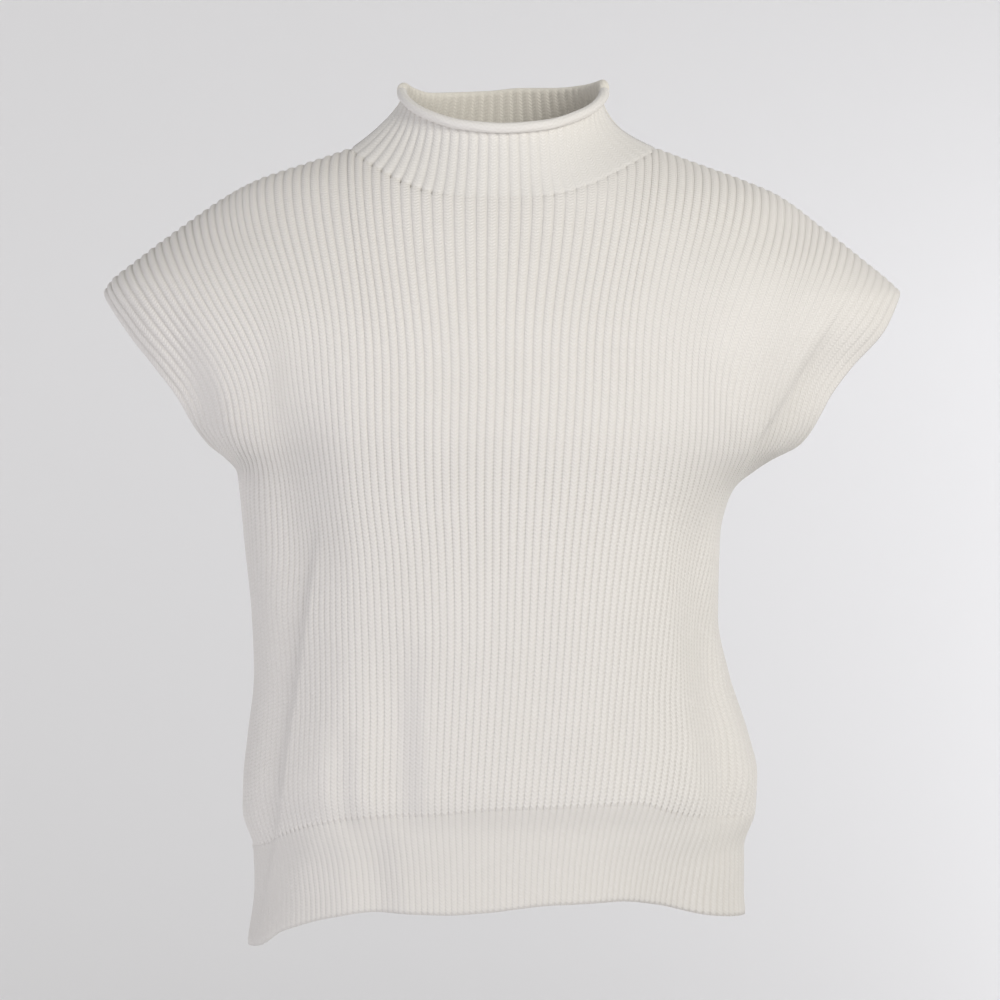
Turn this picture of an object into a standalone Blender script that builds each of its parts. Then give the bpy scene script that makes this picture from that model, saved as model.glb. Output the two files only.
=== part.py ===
"""Ribbed sleeveless knit top with a rolled mock neck and cap shoulders, hollow, in its worn form.

Six knitted pieces meet at linked seams: two panels, two collar halves and two hem bands. The origin is
midway between the shoulders, where the garment rests on its wearer. +Z is up, the front faces -Y and +X is
the right-hand side of the front as one looks at it. Tables and sizes are in millimetres.

The body is a stack of horizontal rings. Ribs are numbered from the middle of a panel to its edge, and each
rib runs down the rings at its own distance along them, so the columns of every mesh follow the knit.
"""
import math

import bpy
import numpy as np

MM = 0.001                   # millimetres to metres
WALL = 2.4                   # thickness of the rib knit
SEAM_GAP = 0.3               # clear gap between two pieces at a seam
BODY_ROOM = 0.25             # spare at the edges of panels and bands, where the wall bends a little
COLLAR_ROOM = 0.7            # and at the edges of the collar, where it bends most
EDGE_RIB = 47.5              # a panel has 95 ribs, so its edges lie 47.5 ribs from its middle
NECK_RIB = 15.5              # the collar takes the 31 ribs in the middle of a panel
CORNER_Z = 3.0               # where collar, shoulder seam and panels meet
CORNER_SLOPE = 0.3           # rise of the shoulder there, as a share of its run
TIP_Z = -100.0               # where the shoulder seam ends, at the tip of the cap
UNDERARM_Z = -233.0          # where the armhole ends and the side seam begins
NECK_MIDDLE_Z = {"front": -31.0, "back": 10.0}    # height of the neck seam in the middle of each panel
NECK_POWER = {"left": 1.65, "right": 1.4}     # how late it turns from there towards its two corners
FACING = {"front": -1.0, "back": 1.0}

# A ring of the body at height z: half widths to either side, depths before and behind the shoulder line,
# squareness (2 is an ellipse), width of a rib in the middle of a panel, sideways drift of the middle rib.
RING_COLUMNS = ("z", "left", "right", "front", "back", "square", "pitch", "drift")
RINGS = (
    (14, 86, 86, 36, 58, 2.0, 8.4, 0),
    (8, 98, 98, 42, 66, 2.0, 8.4, 0),
    (3, 109, 109, 48, 71, 2.0, 8.4, 1),
    (-7, 138, 136, 58, 77, 2.0, 8.3, 1),
    (-20, 176, 172, 70, 84, 2.0, 8.2, 1),
    (-31, 197, 197, 79, 88, 2.0, 8.1, 1),
    (-53, 229, 227, 92, 95, 2.0, 7.6, 1),
    (-78, 263, 259, 103, 101, 2.1, 7.1, 1),
    (-92, 280, 276, 109, 103, 2.1, 6.9, 1),
    (-100, 284, 283, 112, 104, 2.1, 6.8, 1),
    (-120, 279, 282, 117, 106, 2.2, 6.5, 0),
    (-150, 264, 265, 123, 107, 2.2, 6.3, -1),
    (-189, 236, 238, 128, 105, 2.2, 6.1, -3),
    (-204, 219, 221, 127, 104, 2.2, 6.0, -3),
    (-216, 199, 195, 126, 103, 2.2, 5.9, -3),
    (-226, 190, 179, 125, 102, 2.2, 5.9, -3),
    (-238, 188, 164, 124, 101, 2.3, 5.8, -3),
    (-275, 185, 155, 121, 99, 2.3, 5.4, -4),
    (-330, 180, 154, 118, 98, 2.4, 5.1, -5),
    (-372, 179, 162, 115, 99, 2.4, 4.9, -7),
    (-418, 184, 177, 114, 102, 2.4, 4.9, -10),
    (-445, 187, 183, 113, 103, 2.4, 4.8, -12),
    (-472, 188, 182, 106, 102, 2.3, 4.5, -13),
    (-499, 181, 174, 106, 98, 2.2, 4.3, -13),
    (-530, 180, 174, 109, 100, 2.2, 4.2, -13),
    (-568, 185, 178, 114, 103, 2.2, 4.2, -13),
)

# Where a panel ends on the ring, in degrees from the panel's own middle: at the shoulder seam, then along
# the armhole, and below the underarm at the side seam, where the two angles add up to half a turn.
EDGE_COLUMNS = ("z", "front", "back")
EDGES = (
    (-98, 90, 90),
    (-106, 80, 81),
    (-120, 72, 73),
    (-135, 68, 68),
    (-150, 65, 66),
    (-170, 63, 65),
    (-190, 65, 66),
    (-205, 70, 70),
    (-216, 79, 74),
    (-225, 91, 77),
    (-233, 100, 80),
    (-245, 100, 80),
    (-300, 97, 83),
    (-395, 91, 89),
    (-570, 90, 90),
)

# Heights of the linked band seam and of the hem, by rib number.
HEM_COLUMNS = ("rib", "front_seam", "back_seam", "front_hem", "back_hem")
HEMS = (
    (-47.5, -501, -501, -573, -573),
    (-41, -493, -495, -564, -567),
    (-36, -483, -489, -549, -561),
    (-27, -469, -482, -535, -553),
    (-18, -461, -478, -528, -549),
    (-7, -457, -476, -528, -547),
    (0, -453, -475, -526, -546),
    (12, -451, -475, -521, -546),
    (22, -450, -475, -521, -546),
    (30, -460, -475, -526, -547),
    (38, -468, -475, -538, -548),
    (47.5, -475, -475, -550, -550),
)

# The largest folds. A section of a fold lies at height z and distance x from the middle; push is how far
# the cloth is set back there, inner and outer are the widths over which it comes back towards the middle
# and towards the side, and keep is the share of the push that stays beyond it.
FOLD_COLUMNS = ("z", "x", "push", "inner", "outer", "keep")
FOLDS = {
    "front": (
        (  # side crease under the left armhole
            (-262, -133, 0, 24, 20, 0),
            (-297, -136, 14, 22, 22, 0),
            (-342, -141, 24, 22, 24, 0),
            (-387, -146, 27, 22, 26, 0),
            (-425, -152, 27, 22, 26, 0),
            (-466, -158, 23, 22, 24, 0),
            (-492, -163, 14, 20, 18, 0),
            (-538, -174, 0, 16, 12, 0),
        ),
        (  # side trough under the right armhole
            (-240, 140, 0, 30, 24, 0),
            (-278, 134, 9, 24, 18, 0),
            (-332, 138, 13, 22, 18, 0),
            (-378, 145, 15, 22, 20, 0),
            (-423, 152, 14, 22, 24, 0),
            (-460, 158, 10, 22, 22, 0),
            (-505, 160, 0, 20, 20, 0),
        ),
        (  # hollow between the left cap and the chest
            (-100, -224, 0, 26, 26, 0),
            (-134, -217, 7, 26, 26, 0),
            (-170, -209, 9, 26, 24, 0),
            (-208, -199, 7, 24, 20, 0),
            (-240, -190, 0, 24, 18, 0),
        ),
        (  # the right cap turns under beyond a soft crease
            (-100, 254, 0, 22, 34, 1),
            (-118, 240, 6, 22, 34, 1),
            (-144, 216, 13, 22, 34, 1),
            (-174, 202, 14, 22, 32, 1),
            (-207, 186, 11, 20, 26, 1),
            (-232, 176, 0, 18, 20, 1),
        ),
    ),
    "back": (
        (  # soft fold from the left shoulder blade down to the band
            (-150, -142, 0, 30, 30, 0),
            (-240, -128, 8, 28, 26, 0),
            (-340, -120, 11, 24, 24, 0),
            (-430, -118, 9, 22, 22, 0),
            (-490, -120, 0, 20, 20, 0),
        ),
        (  # shallower fold on the other side
            (-180, 150, 0, 30, 26, 0),
            (-270, 128, 9, 26, 22, 0),
            (-350, 130, 10, 24, 22, 0),
            (-440, 138, 6, 22, 20, 0),
            (-500, 142, 0, 20, 20, 0),
        ),
    ),
}

# The rim of the collar: an oval that dips at the front. Its plain edge rolls outwards round a small circle.
RIM_HALF_WIDTH = 69.2
RIM_DEPTH = {"front": 59.0, "back": 56.0}
RIM_SIDE_Z = 47.0
RIM_MIDDLE_Z = {"front": 16.0, "back": 44.0}
BASE_PULL = (0.35, 1.15)     # how far the collar carries on in the slope of the shoulder
RIM_PULL = (0.60, 1.2)       # and has turned upright before the rim: elsewhere, and at the right side
ROLL_RADIUS = 2.8
ROLL_TURN = math.radians(265)

# Resolution of the meshes.
NECK_STRIPS = 16
SHOULDER_STRIPS = 12
YOKE_ROWS = 9                # rows above the underarm
BODY_ROWS = 10               # and below it
BAND_ROWS = 3
COLLAR_ROWS = 5
ROLL_ROWS = 7
RING_SAMPLES = 181
PATH_SAMPLES = 80
SHOULDER_SAMPLES = 229
TOP_CROWDING = 1.7           # the samples of a rib crowd towards the shoulder, where it turns over

COLOURS = {                  # off-white yarn, a little cooler in the tighter rib of the bands
    "front_panel": (0.80, 0.78, 0.73),
    "back_panel": (0.79, 0.77, 0.72),
    "collar_front": (0.82, 0.80, 0.75),
    "collar_back": (0.81, 0.79, 0.74),
    "front_hem_band": (0.78, 0.76, 0.71),
    "back_hem_band": (0.77, 0.75, 0.70),
}
YARN_ROUGHNESS = 0.92


def read(rows, columns, name, at):
    """Read a named column at the given places, on a smooth curve through the rows of its table."""
    table = np.array(sorted(rows), dtype=float)
    x, y = table[:, 0], table[:, columns.index(name)]
    step = np.diff(x)
    slope = np.diff(y) / step
    tangent = np.concatenate(([slope[0]], np.zeros(len(slope) - 1), [slope[-1]]))
    before, after = slope[:-1], slope[1:]
    same_way = before * after > 0
    tangent[1:-1][same_way] = 2 * (before * after)[same_way] / (before + after)[same_way]
    at = np.clip(at, x[0], x[-1])
    i = np.clip(np.searchsorted(x, at, side="right") - 1, 0, len(x) - 2)
    t = (at - x[i]) / step[i]
    return (y[i] * (1 + 2 * t) * (1 - t) ** 2 + y[i + 1] * t * t * (3 - 2 * t)
            + step[i] * t * (1 - t) * (tangent[i] * (1 - t) - tangent[i + 1] * t))


def ring(name, z):
    """A named size of the body's rings at the heights z."""
    return read(RINGS, RING_COLUMNS, name, z)


def fold_push(panel, x, z):
    """How far the folds of a panel set its cloth back at the points (x, z)."""
    push = np.zeros(np.broadcast(x, z).shape)
    for fold in FOLDS[panel]:
        top, bottom = max(row[0] for row in fold), min(row[0] for row in fold)
        centre, depth, inner, outer, keep = (
            read(fold, FOLD_COLUMNS, name, z) for name in ("x", "push", "inner", "outer", "keep"))
        away = (x - centre) * np.sign(centre)
        towards_middle = np.clip(1 + away / inner, 0, 1)
        towards_side = np.clip(1 - away / outer, 0, 1)
        share = np.where(away < 0, towards_middle, keep + (1 - keep) * towards_side)
        share = share * share * (3 - 2 * share)
        push += np.where((z < top) & (z > bottom), depth * share, 0.0)
    return push


def ring_points(panel, z, angle):
    """Points of the ring at height z, at angles counted from the middle of the panel."""
    other = "back" if panel == "front" else "front"
    sine, cosine = np.sin(angle), np.cos(angle)
    square = ring("square", z)
    reach = (np.abs(sine) ** square + np.abs(cosine) ** square) ** (-1 / square)
    x = np.where(angle < 0, ring("left", z), ring("right", z)) * reach * sine
    depth = np.where(cosine > 0, ring(panel, z), ring(other, z)) * reach * cosine
    push = np.where(cosine > 0, fold_push(panel, x, z), 0.0)
    return x, FACING[panel] * (depth - push)


def shoulder_rib(z):
    """Number of the rib that meets the shoulder seam at height z: the ribs are even along that seam."""
    line_z = np.linspace(RINGS[0][0], TIP_Z, SHOULDER_SAMPLES)
    line_x = ring("right", line_z)
    length = np.concatenate(([0], np.cumsum(np.hypot(np.diff(line_x), np.diff(line_z)))))
    corner = np.interp(-CORNER_Z, -line_z, length)
    rib = NECK_RIB + (EDGE_RIB - NECK_RIB) * (length - corner) / (length[-1] - corner)
    return np.interp(-np.asarray(z, dtype=float), -line_z, rib)


def rib_top(panel, rib):
    """Height at which a rib starts: on the neck seam in the middle, on the shoulder seam outside it."""
    if abs(rib) > NECK_RIB:
        line_z = np.linspace(CORNER_Z, TIP_Z, SHOULDER_SAMPLES)
        return float(np.interp(abs(rib), shoulder_rib(line_z), line_z))
    power = NECK_POWER["left" if rib < 0 else "right"]
    rise = math.sin(math.pi / 2 * (abs(rib) / NECK_RIB) ** power) ** 2
    return NECK_MIDDLE_Z[panel] + (CORNER_Z - NECK_MIDDLE_Z[panel]) * rise


def hem_height(name, rib):
    """Height of a band seam or a hem at a rib."""
    return float(read(HEMS, HEM_COLUMNS, name, np.array([rib]))[0])


def rib_points(panel, rib, z):
    """Points of one rib at the heights z. Ribs crowd or spread evenly towards the end of the ring."""
    end = np.radians(read(EDGES, EDGE_COLUMNS, panel, z))
    angle = np.linspace(-1, 1, RING_SAMPLES) * end[:, None]
    x, y = ring_points(panel, z[:, None], angle)
    length = np.concatenate(
        (np.zeros((len(z), 1)), np.cumsum(np.hypot(np.diff(x), np.diff(y)), axis=1)), axis=1)
    pitch, drift, last = ring("pitch", z), ring("drift", z), shoulder_rib(z)
    points = np.empty((len(z), 3))
    for row in range(len(z)):
        middle = np.interp(drift[row], x[row], length[row])
        reach = length[row, -1] - middle if rib > 0 else middle
        crowding = (1 - reach / (pitch[row] * last[row])) * (EDGE_RIB / last[row]) ** 2
        along = min(pitch[row] * abs(rib) * (1 - crowding * (rib / EDGE_RIB) ** 2), reach)
        at = middle + math.copysign(along, rib)
        points[row] = np.interp(at, length[row], x[row]), np.interp(at, length[row], y[row]), z[row]
    return points


def rib_line(panel, rib):
    """Points along one rib: evenly spaced along it to the underarm, then at even heights to the band."""
    top, bottom = rib_top(panel, rib), hem_height(panel + "_seam", rib)
    z = top - (top - UNDERARM_Z) * np.linspace(0, 1, PATH_SAMPLES) ** TOP_CROWDING
    steps = np.linalg.norm(np.diff(rib_points(panel, rib, z), axis=0), axis=1)
    length = np.concatenate(([0], np.cumsum(steps)))
    yoke = np.interp(np.linspace(0, length[-1], YOKE_ROWS + 1), length, z)
    body = np.linspace(UNDERARM_Z, bottom, BODY_ROWS + 1)[1:]
    return rib_points(panel, rib, np.concatenate((yoke, body)))


def panel_ribs():
    """Rib numbers of a panel's columns: closer together towards the corners of the neck."""
    turn = np.linspace(-math.pi / 2, math.pi / 2, NECK_STRIPS + 1)
    outer = np.linspace(NECK_RIB, EDGE_RIB, SHOULDER_STRIPS + 1)[1:]
    return np.concatenate((-outer[::-1], NECK_RIB * np.sin(turn), outer))


def panel_grid(panel):
    """Rows of points from the shoulder and neck seams down to the band seam, a column for each rib."""
    return np.stack([rib_line(panel, rib) for rib in panel_ribs()], axis=1)


def band_grid(panel):
    """Rows of points from the band seam down to the hem."""
    columns = []
    for rib in panel_ribs():
        z = np.linspace(hem_height(panel + "_seam", rib), hem_height(panel + "_hem", rib), BAND_ROWS + 1)
        columns.append(rib_points(panel, rib, z))
    return np.stack(columns, axis=1)


def unit(vectors):
    """Vectors of length one."""
    return vectors / np.linalg.norm(vectors, axis=-1, keepdims=True)


def pull_back(edge, inner, distance):
    """Move an edge square to itself towards the next row of points, and further where it turns a corner."""
    steps = unit(np.diff(edge, axis=0))
    before, after = np.concatenate((steps[:1], steps)), np.concatenate((steps, steps[-1:]))
    seam = unit(before + after)
    half_turn = (seam * after).sum(axis=1, keepdims=True)
    inwards = inner - edge
    across = unit(inwards - (inwards * seam).sum(axis=1, keepdims=True) * seam)
    return edge + across * distance / half_turn


def open_seams(grid, room, top=False, bottom=False):
    """Leave half a seam gap at both sides of a grid, and at its top and bottom where they are seams."""
    grid = grid.copy()
    distance = SEAM_GAP / 2 + room
    grid[:, 0] = pull_back(grid[:, 0], grid[:, 1], distance)
    grid[:, -1] = pull_back(grid[:, -1], grid[:, -2], distance)
    if top:
        grid[0] = pull_back(grid[0], grid[1], distance)
    if bottom:
        grid[-1] = pull_back(grid[-1], grid[-2], distance)
    return grid


def rim_points(panel, share):
    """Points of the collar's rim, at shares of the way from the middle of a panel to its neck corner."""
    angle = np.asarray(share) * math.pi / 2
    x = RIM_HALF_WIDTH * np.sin(angle)
    y = FACING[panel] * RIM_DEPTH[panel] * np.cos(angle)
    z = RIM_SIDE_Z + (RIM_MIDDLE_Z[panel] - RIM_SIDE_Z) * np.cos(angle)
    outwards = np.stack((x / RIM_HALF_WIDTH ** 2, y / RIM_DEPTH[panel] ** 2, 0 * x), axis=1)
    return np.stack((x, y, z), axis=1), unit(outwards)


def neck_slopes(panel, ribs, edge):
    """Directions in which the cloth of the body carries on beyond the neck seam, square to the seam."""
    slopes = np.cross(unit(np.gradient(edge, axis=0)), [
        np.cross(rib_points(panel, rib + 0.5, point[2:]) - rib_points(panel, rib - 0.5, point[2:]),
                 np.subtract(*rib_points(panel, rib, point[2] + np.array((1.0, -1.0)))))[0]
        for rib, point in zip(ribs, edge)])
    slopes = unit(slopes * np.sign(slopes[:, 2:]))
    for end in (0, -1):      # both halves leave the corner up the slope of the shoulder
        slopes[end] = unit(np.array((-np.sign(edge[end, 0]), 0.0, CORNER_SLOPE)))
    return slopes


def collar_grid(panel, panel_points):
    """Rows of points from the neck seam up to the rim and round the rolled edge."""
    ribs = panel_ribs()
    neck = np.abs(ribs) < NECK_RIB + 1e-6
    ribs, edge = ribs[neck], panel_points[0, neck]
    slope = neck_slopes(panel, ribs, edge)
    rim, outwards = rim_points(panel, ribs / NECK_RIB)
    base = edge + slope * (SEAM_GAP / 2 + COLLAR_ROOM)
    up = np.array((0.0, 0.0, 1.0))
    chord = np.linalg.norm(rim - base, axis=1, keepdims=True)
    right = np.clip(ribs[:, None] / NECK_RIB, 0, 1)
    right = right * right * (3 - 2 * right)
    leave = slope * chord * (BASE_PULL[0] + (BASE_PULL[1] - BASE_PULL[0]) * right)
    arrive = up * chord * (RIM_PULL[0] + (RIM_PULL[1] - RIM_PULL[0]) * right)
    rows = []
    for t in np.linspace(0, 1, COLLAR_ROWS + 1):
        rows.append(base * (1 + 2 * t) * (1 - t) ** 2 + rim * t * t * (3 - 2 * t)
                    + leave * t * (1 - t) ** 2 - arrive * t * t * (1 - t))
    for turn in np.linspace(0, ROLL_TURN, ROLL_ROWS + 1)[1:]:
        rows.append(rim + outwards * ROLL_RADIUS * (1 - math.cos(turn)) + up * ROLL_RADIUS * math.sin(turn))
    return np.stack(rows)


def yarn_material(name):
    """Matt knitting yarn in the colour of a piece."""
    material = bpy.data.materials.new(name + "_yarn")
    material.use_nodes = True
    shader = material.node_tree.nodes["Principled BSDF"]
    shader.inputs["Base Color"].default_value = (*COLOURS[name], 1.0)
    shader.inputs["Roughness"].default_value = YARN_ROUGHNESS
    shader.inputs["Metallic"].default_value = 0.0
    return material


def knit_piece(name, grid, facing, collection):
    """Make one piece: the grid's open surface with a wall of knit on it. The grid's rows run downwards."""
    rows, columns, _ = grid.shape
    faces = []
    for r in range(rows - 1):
        for c in range(columns - 1):
            corner = r * columns + c
            face = (corner, corner + columns, corner + columns + 1, corner + 1)
            faces.append(face if facing < 0 else face[::-1])
    mesh = bpy.data.meshes.new(name)
    mesh.from_pydata((grid.reshape(-1, 3) * MM).tolist(), [], faces)
    mesh.materials.append(yarn_material(name))
    mesh.shade_smooth()
    piece = bpy.data.objects.new(name, mesh)
    collection.objects.link(piece)
    wall = piece.modifiers.new("wall", "SOLIDIFY")
    wall.thickness = WALL * MM
    wall.offset = 0.0
    return piece


def build():
    """Make the six pieces of the garment."""
    for item in list(bpy.data.objects):
        bpy.data.objects.remove(item)
    collection = bpy.data.collections.new("ribbed_knit_vest")
    bpy.context.scene.collection.children.link(collection)
    for panel in ("front", "back"):
        points = panel_grid(panel)
        body = open_seams(points, BODY_ROOM, top=True, bottom=True)
        band = open_seams(band_grid(panel), BODY_ROOM, top=True)
        collar = open_seams(collar_grid(panel, points), COLLAR_ROOM)
        knit_piece(panel + "_panel", body, FACING[panel], collection)
        knit_piece(panel + "_hem_band", band, FACING[panel], collection)
        knit_piece("collar_" + panel, collar[::-1], FACING[panel], collection)


build()
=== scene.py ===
# Ribbed sweater vest: rolled mock neck, wide cap shoulders, deep open armholes and a ribbed hem band.
# Lengths in the dictionaries are in millimetres unless a note says otherwise, the front faces -Y.
import math

import bpy
import numpy as np
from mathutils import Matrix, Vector


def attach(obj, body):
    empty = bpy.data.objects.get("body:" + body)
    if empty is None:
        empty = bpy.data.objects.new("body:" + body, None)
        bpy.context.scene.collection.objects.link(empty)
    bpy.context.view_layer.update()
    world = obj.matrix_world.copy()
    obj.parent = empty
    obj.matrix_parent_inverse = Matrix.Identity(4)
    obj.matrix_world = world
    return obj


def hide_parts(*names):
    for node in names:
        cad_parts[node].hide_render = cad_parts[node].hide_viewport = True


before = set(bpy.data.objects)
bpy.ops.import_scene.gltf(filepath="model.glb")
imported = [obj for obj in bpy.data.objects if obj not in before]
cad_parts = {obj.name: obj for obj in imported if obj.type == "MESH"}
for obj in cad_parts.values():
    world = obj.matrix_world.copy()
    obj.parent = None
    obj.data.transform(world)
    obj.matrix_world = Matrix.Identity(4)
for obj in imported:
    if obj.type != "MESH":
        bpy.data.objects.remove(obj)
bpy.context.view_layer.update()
mm = 0.001
print("loaded the frame:", ", ".join(sorted(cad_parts)))


def addObject(name, data):
    made = bpy.data.objects.new(name, data)
    bpy.context.scene.collection.objects.link(made)
    return made


view = {"place": (-2.16, -2300.0, -25.0), "aim": (-2.16, 0.0, -248.0), "lens": 115.54}

cameraData = bpy.data.cameras.new("camera")
cameraData.lens = view["lens"]
camera = addObject("camera", cameraData)
camera.location = [v * mm for v in view["place"]]
tilt = math.atan2(view["place"][2] - view["aim"][2], view["aim"][1] - view["place"][1])
camera.rotation_euler = (math.pi / 2 - tilt, 0.0, 0.0)
bpy.context.scene.camera = camera
print("placed the camera")

# Rings of the body from the neck to the hem: half widths left and right, depths in front and behind,
# squareness, width of a rib in the middle, how far the middle rib has drifted sideways, and the shares
# by which the ribs close up towards the sides.
rings = {
    "columns": ("z", "left", "right", "front", "back", "square", "pitch", "drift",
                "closeLeft", "closeRight"),
    "rows": (
        (14, 86, 86, 36, 58, 2.0, 8.4, 0, 0, 0),
        (8, 98, 98, 42, 66, 2.0, 8.4, 0, 0, 0),
        (3, 109, 109, 48, 71, 2.0, 8.4, 1, 0, 0),
        (-7, 138, 136, 58, 77, 2.0, 8.3, 1, 0, 0),
        (-20, 176, 172, 70, 84, 2.0, 8.2, 1, 0, 0),
        (-31, 197, 197, 79, 88, 2.0, 8.1, 1, 0, 0),
        (-53, 229, 227, 92, 95, 2.0, 7.2, 1, 0.03, 0.12),
        (-78, 263, 259, 103, 101, 2.1, 6.8, 1, 0.05, 0.14),
        (-92, 280, 276, 109, 103, 2.1, 6.6, 1, 0.06, 0.15),
        (-100, 284, 283, 112, 104, 2.1, 6.5, 1, 0.06, 0.15),
        (-120, 279, 282, 118.5, 106, 2.2, 6.3, 0, 0.08, 0.15),
        (-150, 264, 265, 121.5, 107, 2.2, 6.15, -1.5, 0.115, 0.155),
        (-189, 236, 238, 129, 105, 2.2, 6.05, -3.3, 0.155, 0.115),
        (-204, 219, 221, 127, 104, 2.2, 5.98, -3.7, 0.15, 0.095),
        (-216, 199, 195, 126, 103, 2.2, 5.9, -4, 0.14, 0.075),
        (-226, 190, 179, 125, 102, 2.2, 5.85, -4.2, 0.135, 0.06),
        (-238, 188, 164, 124, 101, 2.3, 5.75, -4.5, 0.13, 0.045),
        (-275, 185, 155, 121, 99, 2.3, 5.4, -4.8, 0.09, 0.015),
        (-330, 180, 154, 118, 98, 2.4, 5.08, -5.6, 0.02, 0.03),
        (-372, 179, 162, 115, 99, 2.4, 4.98, -7.5, 0.02, 0.04),
        (-418, 184, 177, 114, 102, 2.4, 4.85, -10.3, 0.01, 0),
        (-445, 187, 183, 113, 103, 2.4, 4.75, -12, 0, 0),
        (-472, 188, 182, 106, 102, 2.3, 4.5, -13, 0, 0),
        (-499, 181, 174, 106, 98, 2.2, 4.3, -13, 0, 0),
        (-530, 180, 174, 109, 100, 2.2, 4.2, -13, 0, 0),
        (-568, 185, 178, 114, 103, 2.2, 4.2, -13, 0, 0),
    ),
}

# Where a panel ends on its ring, in degrees from its own middle.
edges = {
    "columns": ("z", "front", "back"),
    "rows": (
        (-98, 90, 90), (-106, 80, 81), (-120, 72, 73), (-135, 68, 68), (-150, 65, 66),
        (-170, 63, 65), (-190, 65, 66), (-205, 70, 70), (-216, 79, 74), (-225, 91, 77),
        (-233, 100, 80), (-245, 100, 80), (-300, 97, 83), (-395, 91, 89), (-570, 90, 90),
    ),
}

# Heights of the band seam and of the hem, by rib number.
hems = {
    "columns": ("rib", "frontSeam", "backSeam", "frontHem", "backHem"),
    "rows": (
        (-47.5, -501, -501, -573, -573), (-41, -493, -495, -564, -567), (-36, -483, -489, -549, -561),
        (-27, -469, -482, -535, -553), (-18, -461, -478, -528, -549), (-7, -457, -476, -528, -547),
        (0, -453, -475, -526, -546), (12, -451, -475, -521, -546), (22, -450, -475, -521, -546),
        (30, -460, -475, -526, -547), (38, -468, -475, -538, -548), (47.5, -475, -475, -550, -550),
    ),
}

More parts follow.
